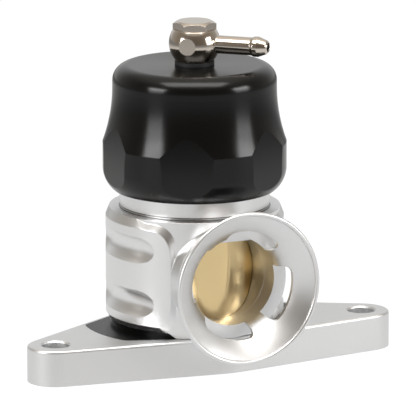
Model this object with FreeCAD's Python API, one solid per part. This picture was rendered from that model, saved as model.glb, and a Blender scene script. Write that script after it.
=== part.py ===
import FreeCAD, Part
import math
import os
from FreeCAD import Vector

# Blow off valve: a brass piston slides in an upright aluminium body that stands on a
# two-bolt flange, a trumpet vents forward (-Y) and a screw cap sets the spring.
# The origin is on the valve axis at the flange's underside, +Z up, +X along the flange.

os.makedirs("parts", exist_ok=True)

X_AXIS = Vector(1, 0, 0)
Y_AXIS = Vector(0, 1, 0)
Z_AXIS = Vector(0, 0, 1)
OVERCUT = 5.0
FAR = 200.0

# Clearances
running_gap = 0.06
seat_gap = 0.05
ring_gap = 0.03
pocket_gap = 0.08

# Mounting flange
flange_thickness = 11.5
bolt_spacing = 107.2
bolt_hole_radius = 4.4
bolt_line_offset = 11.7
flange_end_radius = 9.0
flange_front_angle = 7.4
flange_back_angle = 30.2
flange_front_round = 25.0
flange_back_round = 12.0
flange_edge_round = 0.9
hole_chamfer = 0.5
inlet_radius = 15.5
face_seal_margin = 2.5
face_seal_section = 1.9

# Black base insert, set flush in the top of the flange
insert_radius = 35.8
insert_front_angle = 19.5
insert_front_reach = 26.1
insert_back_inset = 1.6
insert_corner_round = 3.0
insert_front_round = 25.0
insert_depth = 6.0
insert_seal_margin = 2.9
insert_seal_section = 1.6
foot_inset = 0.65
foot_height = 1.7
seat_height = 1.8

# Screws that hold flange, insert and body together from below
base_screw_radius = 2.0
base_screw_inset = 3.25
base_screw_angle = 28.0
base_screw_reach = 6.5
base_hole_gap = 0.2
base_head_radius = 3.5
base_head_height = 2.4
base_head_recess = 0.3
base_socket_across = 2.5
base_socket_depth = 1.3

# Valve body
barrel_radius = 27.25
barrel_length = 35.87
pad_height = 1.15
pad_slope_height = 2.8
pad_foot_height = 1.8
pad_face_reach = 21.6
pad_round_start = 19.0
pad_round_radius = 10.6
pad_round_angle = 60.8
body_neck_wall = 4.67
body_neck_length = 21.0
bore_radius = 19.27
body_seal_margin = 1.38
body_seal_section = 1.1
toe_half_width = 16.5
toe_slope = 0.82
toe_gap = 0.15
toe_back_reach = 17.0
toe_seal_margin = 1.1

# Side grooves, two on each side of the body
groove_depth = 2.0
groove_floor_radius = 5.5
groove_cutter_radius = 25.0
groove_low_height = 8.7
groove_spacing = 17.3
groove_front_angle = 23.4
groove_back_angle = 15.0

# Outlet port and trumpet, about an axis that runs forward at outlet_height
outlet_height = 30.15
outlet_radius = 14.2
port_roof_drop = 3.2
socket_wall = 2.4
boss_wall = 1.8
boss_proud = 0.05
socket_depth = 5.3
trumpet_base_inset = 0.1
trumpet_base_length = 1.5
trumpet_wall = 1.0
trumpet_length = 11.9
trumpet_rim_radius = 24.55
trumpet_lip_radius = 0.75
slot_width = 3.3
slot_sweep = 66.0
slot_first_angle = 17.0
slot_count = 4
slot_corner = 2.0
trumpet_seal_section = 1.0
trumpet_seal_setback = 1.4

# Brass piston and its rings
piston_floor = 3.5
piston_wall = 2.2
piston_length = 38.0
piston_edge = 0.5
face_ring_margin = 1.4
face_ring_section = 1.2
piston_ring_section = 1.6
guide_band_height = 3.2
guide_band_drop = 1.6
ring_spacing = 1.8

# Springs and their upper seat
main_wire = 2.6
main_coil_radius = 12.6
main_turns = 5.5
inner_wire = 1.7
inner_coil_radius = 7.6
inner_turns = 6.5
spring_seat_gap = 1.0
spring_seat_thickness = 2.0
hub_height = 3.0
hub_gap = 0.4
spring_seat_vent = 3.2

# Screw cap
cap_gap = 5.8
cap_travel = 4.5
cap_stop_gap = 1.0
cap_skirt_curve = 6.9
cap_band_height = 8.1
cap_height = 39.7
cap_overhang = 2.0
cap_flare_inset = 3.15
cap_flare_radius = 52.0
cap_shoulder_radius = 5.0
cap_skirt_radius = 9.0
cap_flat_depth = 1.1
cap_flat_crown = 116.0
cap_flat_middle = 8.2
cap_flat_half = 17.0
cap_flats = 6
cap_chamber_gap = 0.13
cap_roof = 8.4
cap_seal_section = 1.7
cap_seal_drop = 12.0

# Hose fitting on top of the cap
washer_radius = 6.3
washer_thickness = 1.2
ball_radius = 8.15
ball_low_height = 5.6
ball_high_height = 4.5
ball_flat_radius = 2.75
banjo_groove_depth = 1.1
banjo_groove_half = 1.8
bolt_shank_radius = 3.95
bolt_grip = 7.0
bolt_waist_depth = 0.9
bolt_bore_radius = 1.6
bolt_cross_radius = 1.1
bolt_head_across = 12.0
bolt_head_height = 2.7
bolt_head_face_inset = 0.7
bolt_head_turn = 4.8
bolt_head_chamfer = 30.0
head_seal_section = 0.9
nipple_angle = -43.0
nipple_reach = 24.4
nipple_radius = 2.87
nipple_bore = 1.5
barb_radius = 3.22
barb_back = 18.9
barb_ramp = 1.0
barb_land = 1.3
nipple_tip_radius = 2.2
nipple_tip_round = 0.5

# Levels and reaches that follow from the sizes
face_seal_radius = inlet_radius + face_seal_margin
insert_seal_radius = inlet_radius + insert_seal_margin
face_ring_radius = inlet_radius + face_ring_margin
foot_radius = barrel_radius - foot_inset
base_screw_circle = barrel_radius - base_screw_inset
body_neck_radius = bore_radius + body_neck_wall
body_seal_radius = bore_radius + body_seal_margin
toe_inner_radius = body_seal_radius + body_seal_section / 2 + toe_seal_margin
port_chord = outlet_radius - port_roof_drop
socket_radius = outlet_radius + socket_wall
boss_radius = socket_radius + boss_wall
boss_reach = barrel_radius + boss_proud
trumpet_base_radius = boss_radius - trumpet_base_inset
slot_outer_radius = outlet_radius + slot_width
cap_radius = barrel_radius + cap_overhang
cap_upper_radius = cap_radius - cap_flare_inset
cap_flat_reach = cap_radius - cap_flat_depth
cap_chamber_radius = bore_radius + cap_chamber_gap
spring_seat_radius = cap_chamber_radius - spring_seat_gap
bolt_head_face = bolt_head_across / 2 - bolt_head_face_inset
pocket_floor = flange_thickness - insert_depth
body_foot = flange_thickness + foot_height
seat_top = body_foot + seat_height
annulus_top = body_foot + barrel_length
pad_radius = barrel_radius + pad_height
body_top = annulus_top + body_neck_length
piston_radius = bore_radius - running_gap
piston_top = seat_top + piston_length
spring_bottom = seat_top + piston_floor
cap_bore_radius = body_neck_radius + running_gap
cap_bottom = annulus_top + cap_gap
cap_top = cap_bottom + cap_height
chamber_top = cap_top - cap_roof
chamber_bottom = body_top + cap_travel + cap_stop_gap
spring_top = chamber_top - spring_seat_thickness
washer_top = cap_top + washer_thickness
ball_centre = washer_top + ball_low_height
ball_top = ball_centre + ball_high_height
banjo_hole_radius = bolt_shank_radius + running_gap
socket_floor_reach = boss_reach - socket_depth
bell_start = boss_reach + trumpet_base_length
trumpet_front = bell_start + trumpet_length


def keep(name, shape):
    """Write one node."""
    shape.exportStep("parts/" + name + ".step")


def cylinder(radius, low, high):
    """An upright cylinder about the valve axis."""
    return Part.makeCylinder(radius, high - low, Vector(0, 0, low))


def tube(outer, inner, low, high):
    """An upright ring about the valve axis."""
    return cylinder(outer, low, high).cut(cylinder(inner, low - OVERCUT, high + OVERCUT))


def forward_cylinder(radius, near, far):
    """A cylinder along the outlet axis between two reaches from the valve axis."""
    return Part.makeCylinder(radius, far - near, Vector(0, -near, outlet_height), -Y_AXIS)


def ring_seal(centre_radius, section, middle):
    """A round-section ring that lies level about the valve axis."""
    return Part.makeTorus(centre_radius, section / 2 - ring_gap, Vector(0, 0, middle))


def straight(start, end):
    """One straight edge."""
    return Part.LineSegment(start, end).toShape()


def polyline(points):
    """Straight edges through points, not closed."""
    return [straight(start, end) for start, end in zip(points, points[1:])]


def arc_about(centre, radius, first, last, plane):
    """An arc edge in a plane, given by its centre, radius and two angles in degrees."""
    points = []
    for angle in (first, (first + last) / 2, last):
        turn = math.radians(angle)
        points.append(centre + (plane[0] * math.cos(turn) + plane[1] * math.sin(turn)) * radius)
    return Part.Arc(*points).toShape()


def turned(edges, centre, axis):
    """A solid of revolution from a closed half section."""
    return Part.Face(Part.Wire(edges)).revolve(centre, axis, 360)


def rounded_outline(corners, radii):
    """A closed wire with each corner rounded by its own radius."""
    count = len(corners)
    rounds = []
    for index in range(count):
        here = corners[index]
        before = (corners[index - 1] - here).normalize()
        after = (corners[(index + 1) % count] - here).normalize()
        half = before.getAngle(after) / 2
        setback = radii[index] / math.tan(half)
        bisector = (before + after).normalize()
        centre = here + bisector * (radii[index] / math.sin(half))
        middle = centre - bisector * radii[index]
        rounds.append((here + before * setback, middle, here + after * setback))
    edges = []
    for index in range(count):
        start, middle, end = rounds[index]
        edges.append(Part.Arc(start, middle, end).toShape())
        edges.append(straight(end, rounds[(index + 1) % count][0]))
    return Part.Wire(edges)


def edge_reach(angle, forward):
    """Distance from the valve axis to a flange edge that touches the end circle."""
    turn = math.radians(angle)
    along = bolt_spacing / 2 * math.sin(turn)
    return along + forward * bolt_line_offset * math.cos(turn) + flange_end_radius


def kite(front_angle, front_reach, back_angle, back_reach):
    """Four corners of a kite whose edges lie at given angles and distances."""
    front = math.radians(front_angle)
    back = math.radians(back_angle)
    turn = math.sin(front) * math.cos(back) + math.cos(front) * math.sin(back)
    tip_x = (front_reach * math.cos(back) + back_reach * math.cos(front)) / turn
    tip_y = (back_reach * math.sin(front) - front_reach * math.sin(back)) / turn
    return [
        Vector(tip_x, tip_y, 0),
        Vector(0, back_reach / math.cos(back), 0),
        Vector(-tip_x, tip_y, 0),
        Vector(0, -front_reach / math.cos(front), 0),
    ]


def plate(outline, low, high):
    """A flat outline raised between two levels."""
    solid = Part.Face(outline).extrude(Vector(0, 0, high - low))
    solid.translate(Vector(0, 0, low))
    return solid


def base_screw_places():
    """Where the four base screws stand, clear of the outlet."""
    places = []
    for turn in (base_screw_angle, 180 - base_screw_angle, 180 + base_screw_angle, -base_screw_angle):
        angle = math.radians(turn)
        places.append(Vector(math.cos(angle), math.sin(angle), 0) * base_screw_circle)
    return places


def at_base_screws(radius, low, high):
    """Upright cylinders at the four base screws."""
    pieces = []
    for place in base_screw_places():
        pieces.append(Part.makeCylinder(radius, high - low, place + Vector(0, 0, low)))
    return pieces


def insert_plug(low, high, grow):
    """The insert's outline: a disc trimmed by four edges, with rounded corners."""
    back_reach = edge_reach(flange_back_angle, -1) - insert_back_inset + grow
    corners = kite(insert_front_angle, insert_front_reach + grow, flange_back_angle, back_reach)
    radii = [insert_corner_round, flange_back_round, insert_corner_round, insert_front_round]
    radius = insert_radius + grow
    plug = plate(rounded_outline(corners, radii), low, high).common(cylinder(radius, low, high))
    sharp = []
    for edge in plug.Edges:
        ends = [vertex.Point for vertex in edge.Vertexes]
        upright = len(ends) == 2 and abs(ends[0].z - ends[1].z) > (high - low) / 2
        if upright and abs(math.hypot(ends[0].x, ends[0].y) - radius) < 0.01:
            sharp.append(edge)
    return plug.makeFillet(insert_corner_round, sharp)


def make_mounting_flange():
    """Kite-shaped plate with two bolt holes, the inlet and a pocket for the insert."""
    front_reach = edge_reach(flange_front_angle, 1)
    back_reach = edge_reach(flange_back_angle, -1)
    corners = kite(flange_front_angle, front_reach, flange_back_angle, back_reach)
    radii = [flange_end_radius, flange_back_round, flange_end_radius, flange_front_round]
    flange = plate(rounded_outline(corners, radii), 0, flange_thickness)
    rim = [edge for edge in flange.Edges if edge.BoundBox.ZMin > flange_thickness - 0.01]
    flange = flange.makeFillet(flange_edge_round, rim)
    flange = flange.cut(insert_plug(pocket_floor, flange_thickness + OVERCUT, pocket_gap))
    flange = flange.cut(cylinder(inlet_radius, -OVERCUT, flange_thickness))
    groove_half = face_seal_section / 2
    groove = tube(face_seal_radius + groove_half, face_seal_radius - groove_half, -OVERCUT, face_seal_section)
    flange = flange.cut(groove)
    head_recess = base_head_recess + base_head_height
    cuts = at_base_screws(base_screw_radius + base_hole_gap, 0, flange_thickness)
    cuts += at_base_screws(base_head_radius + base_hole_gap, -OVERCUT, head_recess)
    for side in (-1, 1):
        place = Vector(side * bolt_spacing / 2, -bolt_line_offset, 0)
        cuts.append(Part.makeCylinder(bolt_hole_radius, flange_thickness, place))
        wide = bolt_hole_radius + hole_chamfer
        cone_base = place + Vector(0, 0, flange_thickness - hole_chamfer)
        cuts.append(Part.makeCone(bolt_hole_radius, wide, hole_chamfer, cone_base))
    return flange.cut(cuts)


def front_foot(grow):
    """The lower front of the body: the boss and a slanted toe, down beside the foot ring."""
    boss = forward_cylinder(boss_radius + grow, toe_back_reach - grow, boss_reach)
    low = flange_thickness + toe_gap - grow
    rise = (body_foot + OVERCUT - low) / toe_slope
    half = toe_half_width + grow
    section = [
        Vector(-half, -toe_back_reach + grow, low),
        Vector(half, -toe_back_reach + grow, low),
        Vector(half + rise, -toe_back_reach + grow, body_foot + OVERCUT),
        Vector(-half - rise, -toe_back_reach + grow, body_foot + OVERCUT),
    ]
    toe = Part.Face(Part.makePolygon(section + section[:1])).extrude(Vector(0, -FAR, 0))
    toe = toe.common(cylinder(barrel_radius + grow, low, body_foot + grow))
    foot = boss.fuse(toe)
    return foot.cut(cylinder(toe_inner_radius - grow, -OVERCUT, body_foot))


def make_base_insert():
    """Black plug with a raised ring under the body, the piston's seat and the inlet."""
    insert = insert_plug(pocket_floor, flange_thickness, 0.0)
    ring = cylinder(foot_radius, flange_thickness, body_foot).cut(front_foot(pocket_gap))
    seat = cylinder(bore_radius - seat_gap, body_foot - seat_height, seat_top)
    insert = insert.fuse([ring, seat])
    insert = insert.cut(cylinder(inlet_radius, -OVERCUT, seat_top + OVERCUT))
    half = insert_seal_section / 2
    lower = tube(insert_seal_radius + half, insert_seal_radius - half, 0, pocket_floor + insert_seal_section)
    half = body_seal_section / 2
    upper_low = body_foot - body_seal_section
    upper = tube(body_seal_radius + half, body_seal_radius - half, upper_low, body_foot + seat_height)
    holes = at_base_screws(base_screw_radius + base_hole_gap, 0, body_foot + OVERCUT)
    return insert.cut([lower, upper] + holes).removeSplitter()


def hexagon(across, low, high, place, turn):
    """An upright hexagonal prism."""
    corners = []
    for index in range(6):
        angle = math.radians(30 + 60 * index + turn)
        reach = across / 2 / math.cos(math.radians(30))
        corners.append(place + Vector(math.cos(angle) * reach, math.sin(angle) * reach, low))
    return Part.Face(Part.makePolygon(corners + corners[:1])).extrude(Vector(0, 0, high - low))


def make_base_screws():
    """Four low-head socket screws, driven up from the flange's underside."""
    head_top = base_head_recess + base_head_height
    screws = []
    for place in base_screw_places():
        head = Part.makeCylinder(base_head_radius, base_head_height, place + Vector(0, 0, base_head_recess))
        shank_length = body_foot + base_screw_reach - head_top
        shank = Part.makeCylinder(base_screw_radius, shank_length, place + Vector(0, 0, head_top))
        socket_top = base_head_recess + base_socket_depth
        socket = hexagon(base_socket_across, -OVERCUT, socket_top, place, 0.0)
        screws.append(head.fuse(shank).cut(socket).removeSplitter())
    return Part.makeCompound(screws)


def pad_trimmer():
    """A dome about the outlet axis: it trims the side pads to a soft, rounded edge."""
    centre = Vector(0, 0, outlet_height)
    forward = -Y_AXIS
    plane = (forward, Z_AXIS)
    round_centre = forward * (pad_face_reach - pad_round_radius) + Z_AXIS * (outlet_height + pad_round_start)
    face_edge = centre + forward * pad_face_reach + Z_AXIS * pad_round_start
    turn = math.radians(pad_round_angle)
    last = round_centre + (forward * math.cos(turn) + Z_AXIS * math.sin(turn)) * pad_round_radius
    away = (forward * -math.sin(turn) + Z_AXIS * math.cos(turn)) * FAR
    edges = polyline([centre - forward * FAR * 2, centre + forward * pad_face_reach, face_edge])
    edges.append(arc_about(round_centre, pad_round_radius, 0, pad_round_angle, plane))
    back = Vector(0, 2 * FAR, (last + away).z)
    edges += polyline([last, last + away, back, centre - forward * FAR * 2])
    return turned(edges, centre, Y_AXIS)


def groove_cutters():
    """Two round-floored grooves on each side, each ending as a disc cutter leaves it."""
    cutters = []
    path_radius = pad_radius - groove_depth + groove_floor_radius
    centre_radius = pad_radius - groove_depth + groove_cutter_radius
    disc_radius = groove_cutter_radius - groove_floor_radius
    for step in range(2):
        level = body_foot + groove_low_height + step * groove_spacing
        circle = Part.makeCircle(groove_floor_radius, Vector(path_radius, 0, level), Y_AXIS)
        section = Part.Face(Part.Wire(circle))
        section.rotate(Vector(0, 0, 0), Z_AXIS, -groove_front_angle)
        sweep = section.revolve(Vector(0, 0, 0), Z_AXIS, groove_front_angle + groove_back_angle)
        pieces = [sweep]
        for turn in (-groove_front_angle, groove_back_angle):
            angle = math.radians(turn)
            middle = Vector(math.cos(angle) * centre_radius, math.sin(angle) * centre_radius, level)
            pieces.append(Part.makeTorus(disc_radius, groove_floor_radius, middle))
        for piece in pieces:
            cutters.append(piece)
            cutters.append(piece.mirror(Vector(0, 0, 0), X_AXIS))
    return cutters


def body_barrel():
    """The barrel with its two raised side pads and the neck for the cap."""
    pads = turned(
        polyline([
            Vector(0, 0, body_foot),
            Vector(barrel_radius, 0, body_foot),
            Vector(pad_radius, 0, body_foot + pad_foot_height),
            Vector(pad_radius, 0, annulus_top - pad_slope_height),
            Vector(barrel_radius, 0, annulus_top),
            Vector(0, 0, annulus_top),
            Vector(0, 0, body_foot),
        ]),
        Vector(0, 0, 0),
        Z_AXIS,
    )
    pads = pads.common(pad_trimmer())
    barrel = cylinder(barrel_radius, body_foot, annulus_top)
    neck = cylinder(body_neck_radius, annulus_top - OVERCUT, body_top)
    return barrel.fuse([pads, neck, front_foot(0.0)])


def make_valve_body():
    """Barrel, pads, neck and outlet boss, bored for the piston and the trumpet."""
    body = body_barrel().cut(groove_cutters())
    bore = cylinder(bore_radius, -OVERCUT, body_top + OVERCUT)
    port = forward_cylinder(outlet_radius, bore_radius / 2, boss_reach)
    port_roof = Part.makeBox(FAR, FAR, FAR, Vector(-FAR / 2, -FAR, outlet_height + port_chord))
    port = port.cut(port_roof)
    socket = forward_cylinder(socket_radius, socket_floor_reach, boss_reach + OVERCUT)
    seal_level = body_top - cap_seal_drop
    seal_groove = tube(
        body_neck_radius + OVERCUT,
        cap_bore_radius - cap_seal_section,
        seal_level - cap_seal_section / 2,
        seal_level + cap_seal_section / 2,
    )
    screw_top = body_foot + base_screw_reach + 1.0
    holes = at_base_screws(base_screw_radius + seat_gap, 0, screw_top)
    return body.cut([bore, port, socket, seal_groove] + holes).removeSplitter()


def ring_groove(radius, depth, low, high):
    """A square groove round the outside of a cylinder."""
    return tube(radius + OVERCUT, radius - depth, low, high)


def band_levels():
    """Bottom and top of the guide band on the piston."""
    top = piston_top - guide_band_drop
    return top - guide_band_height, top


def piston_ring_level():
    """Middle of the sealing ring on the piston."""
    return band_levels()[0] - ring_spacing - piston_ring_section / 2


def hub_ring(low, high):
    """The ring that keeps the two springs apart and on centre."""
    outer = main_coil_radius - main_wire / 2 - hub_gap
    inner = inner_coil_radius + inner_wire / 2 + hub_gap
    return tube(outer, inner, low, high)


def make_piston():
    """Brass cup, open at the top, that closes on the seat and covers the outlet."""
    piston = cylinder(piston_radius, seat_top, piston_top)
    rims = [edge for edge in piston.Edges if isinstance(edge.Curve, Part.Circle)]
    piston = piston.makeChamfer(piston_edge, rims)
    piston = piston.cut(cylinder(piston_radius - piston_wall, spring_bottom, piston_top + OVERCUT))
    piston = piston.fuse(hub_ring(spring_bottom, spring_bottom + hub_height))
    half = face_ring_section / 2
    face_groove = tube(face_ring_radius + half, face_ring_radius - half, 0, seat_top + face_ring_section)
    low, high = band_levels()
    depth = piston_ring_section - running_gap
    band_groove = ring_groove(piston_radius, depth, low - seat_gap, high + seat_gap)
    level = piston_ring_level()
    half = piston_ring_section / 2
    seal_groove = ring_groove(piston_radius, depth, level - half, level + half)
    return piston.cut([face_groove, band_groove, seal_groove]).removeSplitter()


def make_guide_band():
    """Plain bearing band near the top of the piston."""
    low, high = band_levels()
    return tube(bore_radius - ring_gap, bore_radius - piston_ring_section + ring_gap, low, high)


def make_spring(coil_radius, wire, turns):
    """A coil spring with its ends ground flat, from the piston to the upper seat."""
    height = spring_top - spring_bottom
    low = spring_bottom + wire / 4
    rise = height - wire / 2
    helix = Part.makeHelix(rise / turns, rise, coil_radius)
    circle = Part.makeCircle(wire / 2, Vector(coil_radius, 0, 0), Y_AXIS)
    coil = Part.Wire(helix).makePipeShell([Part.Wire(circle)], True, True)
    coil.translate(Vector(0, 0, low))
    return coil.common(cylinder(coil_radius + wire, spring_bottom, spring_top))


def make_spring_seat():
    """Steel disc that the springs press up against the cap."""
    seat = cylinder(spring_seat_radius, spring_top, chamber_top)
    seat = seat.fuse(hub_ring(spring_top - hub_height, spring_top))
    seat = seat.cut(cylinder(spring_seat_vent, 0, chamber_top + OVERCUT))
    return seat.removeSplitter()


def cap_outside():
    """The turned outside of the cap: skirt, band, concave flare, shoulder, flat top."""
    skirt_top = cap_bottom + cap_skirt_curve
    band_top = skirt_top + cap_band_height
    plane = (X_AXIS, Z_AXIS)
    skirt_centre = Vector(cap_radius - cap_skirt_radius, 0, skirt_top)
    skirt_turn = math.degrees(math.asin(cap_skirt_curve / cap_skirt_radius))
    skirt_foot = cap_radius - cap_skirt_radius * (1 - math.cos(math.radians(skirt_turn)))
    flare_swing = math.acos(1 - (cap_radius - cap_upper_radius) / cap_flare_radius)
    flare_top = band_top + cap_flare_radius * math.sin(flare_swing)
    flare_centre = Vector(cap_upper_radius + cap_flare_radius, 0, flare_top)
    flare_turn = 180 + math.degrees(flare_swing)
    shoulder_centre = Vector(cap_upper_radius - cap_shoulder_radius, 0, cap_top - cap_shoulder_radius)
    edges = polyline([Vector(0, 0, cap_top), Vector(0, 0, cap_bottom), Vector(skirt_foot, 0, cap_bottom)])
    edges.append(arc_about(skirt_centre, cap_skirt_radius, -skirt_turn, 0, plane))
    edges.append(straight(Vector(cap_radius, 0, skirt_top), Vector(cap_radius, 0, band_top)))
    edges.append(arc_about(flare_centre, cap_flare_radius, flare_turn, 180, plane))
    shoulder_foot = Vector(cap_upper_radius, 0, cap_top - cap_shoulder_radius)
    edges.append(straight(Vector(cap_upper_radius, 0, flare_top), shoulder_foot))
    edges.append(arc_about(shoulder_centre, cap_shoulder_radius, 0, 90, plane))
    edges.append(straight(Vector(cap_upper_radius - cap_shoulder_radius, 0, cap_top), Vector(0, 0, cap_top)))
    return turned(edges, Vector(0, 0, 0), Z_AXIS)


def make_cap():
    """Black cap with six slightly crowned wrenching flats, screwed on the body's neck."""
    cap = cap_outside()
    flats = []
    crown_place = Vector(cap_flat_reach - cap_flat_crown, -FAR / 2, cap_bottom + cap_flat_middle)
    crown = Part.makeCylinder(cap_flat_crown, FAR, crown_place, Y_AXIS)
    low = crown_place.z - cap_flat_half
    outside = Part.makeBox(FAR, FAR, 2 * cap_flat_half, Vector(0, -FAR / 2, low)).cut(crown)
    for index in range(cap_flats):
        flat = outside.copy()
        flat.rotate(Vector(0, 0, 0), Z_AXIS, index * 360 / cap_flats)
        flats.append(flat)
    cap = cap.cut(flats)
    bore = cylinder(cap_bore_radius, 0, chamber_bottom)
    chamber = cylinder(cap_chamber_radius, 0, chamber_top)
    bolt_hole = cylinder(bolt_shank_radius + seat_gap, 0, cap_top + OVERCUT)
    return cap.cut([bore, chamber, bolt_hole]).removeSplitter()


def make_banjo_bolt():
    """Hollow hexagon-head bolt that clamps the hose fitting to the cap."""
    shank = cylinder(bolt_shank_radius, cap_top - bolt_grip, ball_top)
    head_top = ball_top + bolt_head_height
    head = hexagon(bolt_head_across, ball_top, head_top, Vector(0, 0, 0), bolt_head_turn)
    slope = math.tan(math.radians(bolt_head_chamfer))
    cone_drop = bolt_head_height + OVERCUT
    wide = bolt_head_face + cone_drop / slope
    cone = Part.makeCone(wide, bolt_head_face, cone_drop, Vector(0, 0, head_top - cone_drop))
    head = head.common(cone)
    half = banjo_groove_half
    waist = ring_groove(bolt_shank_radius, bolt_waist_depth, ball_centre - half, ball_centre + half)
    passage = cylinder(bolt_bore_radius, 0, ball_centre + bolt_cross_radius)
    cross_start = Vector(-bolt_shank_radius - OVERCUT, 0, ball_centre)
    cross = Part.makeCylinder(bolt_cross_radius, 2 * bolt_shank_radius + 2 * OVERCUT, cross_start, X_AXIS)
    return shank.cut(waist).fuse(head).cut([passage, cross]).removeSplitter()


def nipple_outside():
    """The barbed hose nipple, turned about +X before it is swung to its direction."""
    tip = Vector(nipple_reach - nipple_tip_round, 0, 0)
    barb_start = barb_back + barb_ramp
    barb_end = barb_start + barb_land
    return turned(
        polyline([
            Vector(0, 0, 0),
            Vector(0, 0, nipple_radius),
            Vector(barb_back, 0, nipple_radius),
            Vector(barb_start, 0, barb_radius),
            Vector(barb_end, 0, barb_radius),
            tip + Vector(0, 0, nipple_tip_radius),
            Vector(nipple_reach, 0, nipple_tip_radius - nipple_tip_round),
            Vector(nipple_reach, 0, 0),
            Vector(0, 0, 0),
        ]),
        Vector(0, 0, 0),
        X_AXIS,
    )


def make_banjo_fitting():
    """Ball-shaped swivel body with two flats and a barbed hose nipple."""
    ball = Part.makeSphere(ball_radius)
    ball = ball.common(cylinder(ball_radius + OVERCUT, -ball_low_height, ball_high_height))
    flat_reach = math.sqrt(ball_radius ** 2 - ball_flat_radius ** 2)
    for side in (-1, 1):
        trim = Part.makeCylinder(ball_radius, OVERCUT, Vector(0, side * flat_reach, 0), Y_AXIS * side)
        ball = ball.cut(trim)
    fitting = ball.fuse(nipple_outside())
    hole = cylinder(banjo_hole_radius, -ball_radius, ball_radius)
    groove = tube(
        banjo_hole_radius + banjo_groove_depth,
        banjo_hole_radius - running_gap,
        -banjo_groove_half,
        banjo_groove_half,
    )
    seal_radius = banjo_hole_radius + head_seal_section
    seal_pocket = cylinder(seal_radius, ball_high_height - head_seal_section, ball_radius)
    passage = Part.makeCylinder(nipple_bore, nipple_reach + OVERCUT, Vector(0, 0, 0), X_AXIS)
    fitting = fitting.cut([hole, groove, seal_pocket, passage]).removeSplitter()
    fitting.rotate(Vector(0, 0, 0), Z_AXIS, nipple_angle)
    fitting.translate(Vector(0, 0, ball_centre))
    return fitting


def bell_curve(start_reach, start_radius, end_reach, end_radius):
    """A parabolic flare in the half section, level at its start."""
    middle = (start_reach + end_reach) / 2
    curve = Part.BezierCurve()
    curve.setPoles([
        above_outlet(start_reach, start_radius),
        above_outlet(middle, start_radius),
        above_outlet(end_reach, end_radius),
    ])
    return curve.toShape()


def above_outlet(reach, radius):
    """A point of the trumpet's half section, above the outlet axis."""
    return Vector(0, -reach, outlet_height + radius)


def slot_cutter(index):
    """One arc slot, milled back from the front of the trumpet to its base ring."""
    length = trumpet_length + OVERCUT
    ring = Part.makeCylinder(slot_outer_radius, length, Vector(0, 0, 0), Z_AXIS, slot_sweep)
    outer = [
        edge
        for edge in ring.Edges
        if len(edge.Vertexes) == 2
        and isinstance(edge.Curve, Part.Line)
        and abs(edge.Vertexes[0].Point.z - edge.Vertexes[1].Point.z) > length / 2
        and math.hypot(edge.Vertexes[0].X, edge.Vertexes[0].Y) > slot_outer_radius / 2
    ]
    ring = ring.makeFillet(slot_corner, outer)
    ring = ring.cut(Part.makeCylinder(outlet_radius - seat_gap, length * 3, Vector(0, 0, -length)))
    middle = slot_first_angle + index * 360 / slot_count
    # Turned so that the middle of the sweep lies up, then swung clockwise as seen from the front
    ring.rotate(Vector(0, 0, 0), Z_AXIS, -slot_sweep / 2)
    ring.rotate(Vector(0, 0, 0), X_AXIS, 90)
    ring.rotate(Vector(0, 0, 0), Y_AXIS, middle - 90)
    ring.translate(Vector(0, -bell_start, outlet_height))
    return ring


def make_trumpet():
    """Bell-mouthed outlet on a base ring, with a sleeve in the body and four arc slots."""
    sleeve_radius = socket_radius - seat_gap
    sleeve_end = socket_floor_reach + seat_gap
    lip_reach = trumpet_front - trumpet_lip_radius
    lip_middle = trumpet_rim_radius - trumpet_lip_radius
    inner_end = above_outlet(lip_reach, lip_middle - trumpet_lip_radius)
    outer_end = above_outlet(lip_reach, trumpet_rim_radius)
    web_radius = outlet_radius + trumpet_wall
    edges = [bell_curve(bell_start, outlet_radius, lip_reach, lip_middle - trumpet_lip_radius)]
    edges.append(Part.Arc(inner_end, above_outlet(trumpet_front, lip_middle), outer_end).toShape())
    edges.append(bell_curve(bell_start, web_radius, lip_reach, trumpet_rim_radius))
    edges += polyline([
        above_outlet(bell_start, web_radius),
        above_outlet(bell_start, trumpet_base_radius),
        above_outlet(boss_reach, trumpet_base_radius),
        above_outlet(boss_reach, sleeve_radius),
        above_outlet(sleeve_end, sleeve_radius),
        above_outlet(sleeve_end, outlet_radius),
        above_outlet(bell_start, outlet_radius),
    ])
    trumpet = turned(edges, Vector(0, 0, outlet_height), Y_AXIS)
    seal_near = sleeve_end + trumpet_seal_setback
    seal_far = seal_near + trumpet_seal_section
    groove = forward_cylinder(socket_radius + OVERCUT, seal_near, seal_far)
    groove = groove.cut(forward_cylinder(socket_radius - trumpet_seal_section, 0, trumpet_front))
    cuts = [groove] + [slot_cutter(index) for index in range(slot_count)]
    return trumpet.cut(cuts).removeSplitter()


def make_trumpet_ring():
    """The seal on the trumpet's sleeve."""
    reach = socket_floor_reach + seat_gap + trumpet_seal_setback + trumpet_seal_section / 2
    centre_radius = socket_radius - trumpet_seal_section / 2
    section = trumpet_seal_section / 2 - ring_gap
    return Part.makeTorus(centre_radius, section, Vector(0, -reach, outlet_height), Y_AXIS)


keep("mounting_flange", make_mounting_flange())
keep("base_insert", make_base_insert())
keep("base_screws", make_base_screws())
keep("flange_seal", ring_seal(face_seal_radius, face_seal_section, face_seal_section / 2))
keep("insert_seal", ring_seal(insert_seal_radius, insert_seal_section, pocket_floor + insert_seal_section / 2))
keep("body_seal", ring_seal(body_seal_radius, body_seal_section, body_foot - body_seal_section / 2))
keep("valve_body", make_valve_body())
keep("trumpet", make_trumpet())
keep("trumpet_seal", make_trumpet_ring())
keep("piston", make_piston())
keep("piston_face_seal", ring_seal(face_ring_radius, face_ring_section, seat_top + face_ring_section / 2))
keep("piston_ring", ring_seal(bore_radius - piston_ring_section / 2, piston_ring_section, piston_ring_level()))
keep("piston_guide_band", make_guide_band())
keep("main_spring", make_spring(main_coil_radius, main_wire, main_turns))
keep("inner_spring", make_spring(inner_coil_radius, inner_wire, inner_turns))
keep("spring_seat", make_spring_seat())
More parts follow.
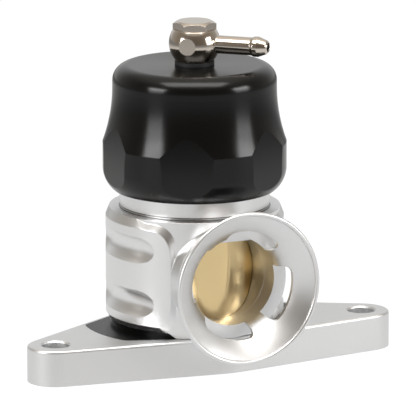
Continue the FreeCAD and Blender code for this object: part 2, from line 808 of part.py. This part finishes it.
keep("cap", make_cap())
keep("cap_seal", ring_seal(cap_bore_radius - cap_seal_section / 2, cap_seal_section, body_top - cap_seal_drop))
keep("fitting_washer", tube(washer_radius, bolt_shank_radius + seat_gap, cap_top, washer_top))
keep("banjo_fitting", make_banjo_fitting())
head_seal_radius = banjo_hole_radius + head_seal_section / 2
keep("head_seal", ring_seal(head_seal_radius, head_seal_section, ball_top - head_seal_section / 2))
keep("banjo_bolt", make_banjo_bolt())
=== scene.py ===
import math
import bmesh
import bpy
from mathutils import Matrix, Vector


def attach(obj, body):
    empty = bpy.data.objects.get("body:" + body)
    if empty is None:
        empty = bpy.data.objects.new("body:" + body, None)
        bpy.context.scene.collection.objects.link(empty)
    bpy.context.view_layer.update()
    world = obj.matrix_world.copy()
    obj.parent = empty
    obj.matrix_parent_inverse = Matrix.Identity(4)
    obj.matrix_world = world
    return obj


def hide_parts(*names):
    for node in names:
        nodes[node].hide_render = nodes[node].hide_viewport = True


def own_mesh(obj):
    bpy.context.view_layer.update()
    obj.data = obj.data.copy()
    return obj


# A blow off valve on a white studio table. Units are metres, in the frame of the CAD part.

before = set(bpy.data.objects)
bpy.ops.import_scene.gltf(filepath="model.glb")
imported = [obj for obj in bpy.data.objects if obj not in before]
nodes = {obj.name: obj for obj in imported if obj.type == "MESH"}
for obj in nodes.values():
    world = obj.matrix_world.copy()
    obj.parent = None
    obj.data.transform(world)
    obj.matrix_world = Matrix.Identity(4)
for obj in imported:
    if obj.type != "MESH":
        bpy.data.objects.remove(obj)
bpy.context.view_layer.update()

# Camera: a long lens, slightly above and to the left
VIEW_AZIMUTH = math.radians(-25.18)
VIEW_ELEVATION = math.radians(12.90)
VIEW_DISTANCE = 1.73905
VIEW_TARGET = Vector((0.003847, -0.001808, 0.047807))
LENS = 472.73
SENSOR = 36.0
CLIP_END = 20.0
TOWARDS_CAMERA = Vector((math.sin(VIEW_AZIMUTH), -math.cos(VIEW_AZIMUTH), 0.0))

# Softboxes, each turned from the camera's side and tilted up from the level
LAMP_DISTANCE = 0.70
LAMP_AIM = Vector((0.0, 0.0, 0.06))
LEFT_TURN = math.radians(-54.0)
RIGHT_TURN = math.radians(69.0)
HIGH_TILT = math.radians(20.0)
LOW_TILT = math.radians(7.5)
OVERHEAD_TILT = math.radians(72.0)
HIGH_BOX = (0.29, 0.15)
LOW_BOX = (0.27, 0.14)
OVERHEAD_BOX = (0.80, 0.36)
HIGH_RADIANCE = 9.2
LOW_RADIANCE = 4.1
OVERHEAD_RADIANCE = 4.4

# The room that reflections see, from the camera's side round to the backdrop, and its ceiling
ROOM_FRONT = (0.15, 0.125, 0.10)
ROOM_SIDE = (0.28, 0.245, 0.20)
ROOM_BACK = (0.43, 0.41, 0.38)
ROOM_BACKDROP = (0.72, 0.72, 0.715)
ROOM_CEILING = (0.92, 0.84, 0.76)
SIDE_PLACE = 0.5
BACK_PLACE = 0.81
BACKDROP_PLACE = 0.93
CEILING_START = 0.60
CEILING_END = 0.90
FILL_LEVEL = 0.45

# Floor
WHITE = (1.0, 1.0, 1.0)
PAPER_WHITE = (0.9, 0.9, 0.9)
FLOOR_REACH = 3.0
FLOOR_GLOW = 0.90
FLOOR_WHITE = 1.05
FLOOR_SHEEN = 0.79
FLOOR_FADE_START = 0.30
FLOOR_FADE_END = 0.60
FLOOR_FADE_SHARE = 0.30
FLOOR_WARMTH = (1.0, 0.99, 0.975)

# Finishes
CLOUD_SCALE = 60.0
CLOUD_DETAIL = 4.0
CLOUD_LOW = 0.3
CLOUD_HIGH = 0.7
CLOUD_SHARE = 0.08
GRAIN_DETAIL = 2.0
GRAIN_HEIGHT = 0.0002
EDGE_RADIUS = 0.00035
FINE_EDGE_RADIUS = 0.0001
EDGE_SAMPLES = 4
ACROSS_THE_LINES = 0.25
SILVER = (0.82, 0.825, 0.83)

# The springs are cut in two at a level that stays, so that each end follows its own body
SPRING_SPLIT = 0.055
WELD_DISTANCE = 1e-6

# Painted shade and reflection round the foot of the body's neck: two dark lines of painted shade with a
# grey band of painted reflection between them, in the metal's colour
PAINTED_GROOVE_START = 0.04895
PAINTED_GROOVE_END = 0.05010
PAINTED_GROOVE_REACH = 0.02415
PAINTED_GROOVE_METAL = 0.83
PAINTED_SHADE_LINE = 0.12
PAINTED_SHADE_LINE_TOP = 0.15
PAINTED_GREY_BAND = 0.50
PAINTED_GROOVE_SHADES = (
    (0.03, PAINTED_GROOVE_METAL), (0.06, PAINTED_SHADE_LINE), (0.24, PAINTED_SHADE_LINE_TOP), (0.34, PAINTED_GREY_BAND),
    (0.60, PAINTED_GREY_BAND), (0.68, PAINTED_SHADE_LINE), (0.84, PAINTED_SHADE_LINE_TOP), (0.92, PAINTED_GROOVE_METAL),
)

# Sockets of Blender's colour mix node, which have the same names as its other sockets
MIX_FIRST = 6
MIX_SECOND = 7
MIX_RESULT = 2


def make_camera():
    """The photograph's view."""
    back = Vector((
        math.sin(VIEW_AZIMUTH) * math.cos(VIEW_ELEVATION),
        -math.cos(VIEW_AZIMUTH) * math.cos(VIEW_ELEVATION),
        math.sin(VIEW_ELEVATION),
    ))
    data = bpy.data.cameras.new("photo_camera")
    data.lens = LENS
    data.sensor_width = SENSOR
    data.clip_end = CLIP_END
    camera = bpy.data.objects.new("photo_camera", data)
    camera.rotation_mode = "QUATERNION"
    camera.location = VIEW_TARGET + back * VIEW_DISTANCE
    camera.rotation_quaternion = (-back).to_track_quat("-Z", "Y")
    bpy.context.scene.collection.objects.link(camera)
    bpy.context.scene.camera = camera


def opaque(colour):
    """A colour with its alpha."""
    return (*colour, 1.0)


def node(tree, kind, **settings):
    """A new node with some of its settings."""
    made = tree.nodes.new(kind)
    for key, value in settings.items():
        setattr(made, key, value)
    return made


def noise(tree, place, scale, detail):
    """A cloudy value from 0 to 1 over the object."""
    made = node(tree, "ShaderNodeTexNoise")
    made.inputs["Scale"].default_value = scale
    made.inputs["Detail"].default_value = detail
    tree.links.new(place.outputs["Object"], made.inputs["Vector"])
    return made.outputs["Fac"]


def map_range(tree, value, start, end, low=0.0, high=1.0):
    """A value that goes from low to high between start and end, and stays there beyond them."""
    made = node(tree, "ShaderNodeMapRange")
    made.inputs["From Min"].default_value = start
    made.inputs["From Max"].default_value = end
    made.inputs["To Min"].default_value = low
    made.inputs["To Max"].default_value = high
    tree.links.new(value, made.inputs["Value"])
    return made.outputs[0]


def colour_ramp(tree, factor, stops):
    """Colours along a factor from 0 to 1, given as pairs of a position and a colour."""
    made = node(tree, "ShaderNodeValToRGB")
    elements = made.color_ramp.elements
    for element, (position, colour) in zip(elements, (stops[0], stops[-1])):
        element.position = position
        element.color = opaque(colour)
    for position, colour in stops[1:-1]:
        elements.new(position).color = opaque(colour)
    tree.links.new(factor, made.inputs[0])
    return made.outputs[0]


def vector_length(tree, vector):
    """How long a vector is."""
    made = node(tree, "ShaderNodeVectorMath", operation="LENGTH")
    tree.links.new(vector, made.inputs[0])
    return made.outputs["Value"]


def calculate(tree, operation, value, other):
    """The result of a math node on a socket and another socket or number."""
    made = node(tree, "ShaderNodeMath", operation=operation)
    tree.links.new(value, made.inputs[0])
    if isinstance(other, float):
        made.inputs[1].default_value = other
    else:
        tree.links.new(other, made.inputs[1])
    return made.outputs[0]


def either(tree, *sockets):
    """1 where any of the sockets is 1."""
    last = sockets[0]
    for socket in sockets[1:]:
        last = calculate(tree, "MAXIMUM", last, socket)
    return last


def mix_colours(tree, factor, first, second):
    """A mix of two colours, each of them a socket or three numbers."""
    made = node(tree, "ShaderNodeMix", data_type="RGBA")
    tree.links.new(factor, made.inputs["Factor"])
    for place, colour in ((MIX_FIRST, first), (MIX_SECOND, second)):
        if isinstance(colour, tuple):
            made.inputs[place].default_value = opaque(colour)
        else:
            tree.links.new(colour, made.inputs[place])
    return made.outputs[MIX_RESULT]


def mix_shaders(tree, factor, first, second):
    """The first shader where the factor is 0, the second where it is 1."""
    made = node(tree, "ShaderNodeMixShader")
    tree.links.new(factor, made.inputs[0])
    tree.links.new(first.outputs[0], made.inputs[1])
    tree.links.new(second.outputs[0], made.inputs[2])
    return made


def satin(name, colour, roughness, grain, depth, metallic=1.0, specular=0.5, edge=EDGE_RADIUS):
    """A finish whose gloss varies softly and whose surface has a fine blasted grain."""
    material = bpy.data.materials.new(name)
    material.use_nodes = True
    tree = material.node_tree
    shader = tree.nodes["Principled BSDF"]
    shader.inputs["Base Color"].default_value = opaque(colour)
    shader.inputs["Metallic"].default_value = metallic
    shader.inputs["Specular IOR Level"].default_value = specular
    place = node(tree, "ShaderNodeTexCoord")
    cloud = noise(tree, place, CLOUD_SCALE, CLOUD_DETAIL)
    least = roughness * (1 - CLOUD_SHARE)
    most = roughness * (1 + CLOUD_SHARE)
    gloss = map_range(tree, cloud, CLOUD_LOW, CLOUD_HIGH, least, most)
    tree.links.new(gloss, shader.inputs["Roughness"])
    edges = node(tree, "ShaderNodeBevel", samples=EDGE_SAMPLES)
    edges.inputs["Radius"].default_value = edge
    surface = edges.outputs[0]
    if depth:
        bump = node(tree, "ShaderNodeBump")
        bump.inputs["Strength"].default_value = depth
        bump.inputs["Distance"].default_value = GRAIN_HEIGHT
        tree.links.new(noise(tree, place, grain, GRAIN_DETAIL), bump.inputs["Height"])
        tree.links.new(surface, bump.inputs["Normal"])
        surface = bump.outputs[0]
    tree.links.new(surface, shader.inputs["Normal"])
    return material


def add_turning(material, axis, stretch):
    """Fine lathe lines round an axis, which stretch the highlights across them."""
    tree = material.node_tree
    shader = tree.nodes["Principled BSDF"]
    shader.inputs["Anisotropic"].default_value = stretch
    shader.inputs["Anisotropic Rotation"].default_value = ACROSS_THE_LINES
    round_axis = node(tree, "ShaderNodeTangent", direction_type="RADIAL", axis=axis)
    tree.links.new(round_axis.outputs[0], shader.inputs["Tangent"])


def add_painted_groove_shade(material, colour):
    """Painted shade and reflection in the base colour round the neck's foot, up the neck and no further
    out than it.
    """
    tree = material.node_tree
    place = node(tree, "ShaderNodeTexCoord")
    parts = node(tree, "ShaderNodeSeparateXYZ")
    tree.links.new(place.outputs["Object"], parts.inputs[0])
    level = node(tree, "ShaderNodeCombineXYZ")
    for axis in "XY":
        tree.links.new(parts.outputs[axis], level.inputs[axis])
    near = calculate(tree, "LESS_THAN", vector_length(tree, level.outputs[0]), PAINTED_GROOVE_REACH)
    upward = map_range(tree, parts.outputs["Z"], PAINTED_GROOVE_START, PAINTED_GROOVE_END)
    greys = [(position, (shade, shade, shade)) for position, shade in PAINTED_GROOVE_SHADES]
    shades = colour_ramp(tree, upward, [(0.0, colour), *greys, (1.0, colour)])
    shaded = mix_colours(tree, near, colour, shades)
    tree.links.new(shaded, tree.nodes["Principled BSDF"].inputs["Base Color"])


def dress(material, *names):
    """Gives CAD nodes their material."""
    for name in names:
        data = nodes[name].data
        data.materials.clear()
        data.materials.append(material)


def spring_part(source, name, upper):
    """A copy of one end of a spring, closed at the cut."""
    data = source.data.copy()
    data.transform(source.matrix_world)
    mesh = bmesh.new()
    mesh.from_mesh(data)
    bmesh.ops.remove_doubles(mesh, verts=mesh.verts, dist=WELD_DISTANCE)
    everything = mesh.verts[:] + mesh.edges[:] + mesh.faces[:]
    bmesh.ops.bisect_plane(
        mesh, geom=everything, plane_co=(0.0, 0.0, SPRING_SPLIT), plane_no=(0.0, 0.0, 1.0),
        clear_outer=not upper, clear_inner=upper,
    )
    bmesh.ops.holes_fill(mesh, edges=[edge for edge in mesh.edges if edge.is_boundary])
    mesh.to_mesh(data)
    mesh.free()
    part = bpy.data.objects.new(name, data)
    bpy.context.scene.collection.objects.link(part)
    return part


def split_spring(name):
    """Both ends of a spring: the lower one shortens with the piston, the upper one with the cap."""
    source = nodes[name]
    lower = spring_part(source, name + "_lower", False)
    upper = spring_part(source, name + "_upper", True)
    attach(lower, "piston_group")
    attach(upper, "preload")
    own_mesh(lower)
    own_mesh(upper)
    for part in (lower, upper):
        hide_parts(name)


def softbox(name, size, turn, tilt, radiance):
    """A soft rectangular lamp that faces the object."""
    side = Vector((-TOWARDS_CAMERA.y, TOWARDS_CAMERA.x, 0.0))
    level = TOWARDS_CAMERA * math.cos(turn) + side * math.sin(turn)
    direction = level * math.cos(tilt) + Vector((0.0, 0.0, math.sin(tilt)))
    data = bpy.data.lights.new(name, "AREA")
    data.shape = "RECTANGLE"
    data.size, data.size_y = size
    data.energy = radiance * math.pi * size[0] * size[1]
    lamp = bpy.data.objects.new(name, data)
    lamp.location = LAMP_AIM + direction * LAMP_DISTANCE
    lamp.rotation_mode = "QUATERNION"
    lamp.rotation_quaternion = (-direction).to_track_quat("-Z", "Y")
    bpy.context.scene.collection.objects.link(lamp)


def make_world():
    """White for the camera; in reflections a white backdrop behind and a dim room in front."""
    world = bpy.data.worlds.new("studio")
    world.use_nodes = True
    bpy.context.scene.world = world
    tree = world.node_tree
    tree.nodes.clear()
    paths = node(tree, "ShaderNodeLightPath")
    direction = node(tree, "ShaderNodeTexCoord")
    away = node(tree, "ShaderNodeVectorMath", operation="DOT_PRODUCT")
    away.inputs[1].default_value = -TOWARDS_CAMERA
    tree.links.new(direction.outputs["Generated"], away.inputs[0])
    walls = colour_ramp(tree, map_range(tree, away.outputs["Value"], -1.0, 1.0), [
        (0.0, ROOM_FRONT), (SIDE_PLACE, ROOM_SIDE),
        (BACK_PLACE, ROOM_BACK), (BACKDROP_PLACE, ROOM_BACKDROP),
    ])
    parts = node(tree, "ShaderNodeSeparateXYZ")
    tree.links.new(direction.outputs["Generated"], parts.inputs[0])
    overhead = map_range(tree, parts.outputs["Z"], CEILING_START, CEILING_END)
    reflected = node(tree, "ShaderNodeBackground")
    tree.links.new(mix_colours(tree, overhead, walls, ROOM_CEILING), reflected.inputs["Color"])
    backdrop = node(tree, "ShaderNodeBackground")
    fill = node(tree, "ShaderNodeBackground")
    fill.inputs["Strength"].default_value = FILL_LEVEL
    for white in (backdrop, fill):
        white.inputs["Color"].default_value = opaque(WHITE)
    mirrored = either(tree, paths.outputs["Is Glossy Ray"], paths.outputs["Is Transmission Ray"])
    lighting = mix_shaders(tree, mirrored, fill, reflected)
    final = mix_shaders(tree, paths.outputs["Is Camera Ray"], lighting, backdrop)
    output = node(tree, "ShaderNodeOutputWorld")
    tree.links.new(final.outputs[0], output.inputs["Surface"])


def floor_material():
    """White paper that glows towards the camera and in reflections, and keeps a faint shadow."""
    material = bpy.data.materials.new("floor")
    material.use_nodes = True
    tree = material.node_tree
    tree.nodes.clear()
    paths = node(tree, "ShaderNodeLightPath")
    camera_ray = paths.outputs["Is Camera Ray"]
    paper = node(tree, "ShaderNodeBsdfDiffuse")
    paper.inputs["Color"].default_value = opaque(PAPER_WHITE)
    glow = node(tree, "ShaderNodeEmission")
    tree.links.new(mix_colours(tree, camera_ray, FLOOR_WARMTH, WHITE), glow.inputs["Color"])
    # Far from the object the glow fades, in reflections alone
    position = node(tree, "ShaderNodeNewGeometry")
    distance = vector_length(tree, position.outputs["Position"])
    fade = map_range(tree, distance, FLOOR_FADE_START, FLOOR_FADE_END, 1.0, FLOOR_FADE_SHARE)
    level = map_range(tree, camera_ray, 0.0, 1.0, FLOOR_SHEEN, FLOOR_WHITE)
    strength = calculate(tree, "MULTIPLY", level, either(tree, fade, camera_ray))
    tree.links.new(strength, glow.inputs["Strength"])
    seen = either(tree, camera_ray, paths.outputs["Is Glossy Ray"], paths.outputs["Is Transmission Ray"])
    surface = mix_shaders(tree, calculate(tree, "MULTIPLY", seen, FLOOR_GLOW), paper, glow)
    output = node(tree, "ShaderNodeOutputMaterial")
    tree.links.new(surface.outputs[0], output.inputs["Surface"])
    return material


def make_floor():
    """The table under the object."""
    corners = [
        (-FLOOR_REACH, -FLOOR_REACH, 0), (FLOOR_REACH, -FLOOR_REACH, 0),
        (FLOOR_REACH, FLOOR_REACH, 0), (-FLOOR_REACH, FLOOR_REACH, 0),
    ]
    data = bpy.data.meshes.new("floor")
    data.from_pydata(corners, [], [(0, 1, 2, 3)])
    data.materials.append(floor_material())
    floor = bpy.data.objects.new("floor", data)
    bpy.context.scene.collection.objects.link(floor)


silver = satin("clear_anodised", SILVER, roughness=0.32, grain=2600.0, depth=0.08)
flange_silver = satin("flange_aluminium", (0.78, 0.785, 0.79), roughness=0.40, grain=2200.0, depth=0.10)
bell_silver = satin(
    "turned_bell", (0.80, 0.805, 0.81), roughness=0.37, grain=3000.0, depth=0.04, edge=FINE_EDGE_RADIUS,
)
black = satin(
    "black_anodised", (0.0012, 0.0012, 0.0012), roughness=0.20, grain=3000.0, depth=0.03,
    metallic=0.0, specular=0.36,
)
insert_black = satin(
    "black_insert", (0.002, 0.002, 0.002), roughness=0.22, grain=3000.0, depth=0.03,
    metallic=0.0, specular=0.2,
)
brass = satin("brass", (0.82, 0.63, 0.34), roughness=0.15, grain=2400.0, depth=0.02)
nickel = satin("nickel", (0.66, 0.60, 0.53), roughness=0.12, grain=3000.0, depth=0.0)
steel = satin("steel", (0.55, 0.55, 0.56), roughness=0.35, grain=2600.0, depth=0.05)
rubber = satin(
    "rubber", (0.015, 0.015, 0.016), roughness=0.55, grain=1500.0, depth=0.10, metallic=0.0,
)
band_brown = satin(
    "guide_band", (0.10, 0.06, 0.035), roughness=0.5, grain=1500.0, depth=0.05, metallic=0.0,
)

# Painted shade and reflection: dark lines and a grey band in the body's colour round the neck's foot
add_painted_groove_shade(silver, SILVER)
add_turning(brass, "Z", 0.9)
add_turning(black, "Z", 0.6)
dress(silver, "valve_body")
dress(bell_silver, "trumpet")
dress(flange_silver, "mounting_flange")
dress(black, "cap")
dress(insert_black, "base_insert")
dress(brass, "piston")
dress(nickel, "banjo_fitting", "banjo_bolt")
dress(steel, "base_screws", "main_spring", "inner_spring", "spring_seat")
dress(
    rubber,
    "flange_seal", "insert_seal", "body_seal", "trumpet_seal", "cap_seal",
    "piston_face_seal", "piston_ring", "fitting_washer", "head_seal",
)
dress(band_brown, "piston_guide_band")

for coil in ("main_spring", "inner_spring"):
    split_spring(coil)

# Floor, lights and background
make_world()
make_floor()
for side, turn in (("left", LEFT_TURN), ("right", RIGHT_TURN)):
    softbox(side + "_high", HIGH_BOX, turn, HIGH_TILT, HIGH_RADIANCE)
    softbox(side + "_low", LOW_BOX, turn, LOW_TILT, LOW_RADIANCE)
softbox("overhead", OVERHEAD_BOX, 0.0, OVERHEAD_TILT, OVERHEAD_RADIANCE)

make_camera()
bpy.context.scene.view_settings.view_transform = "Standard"
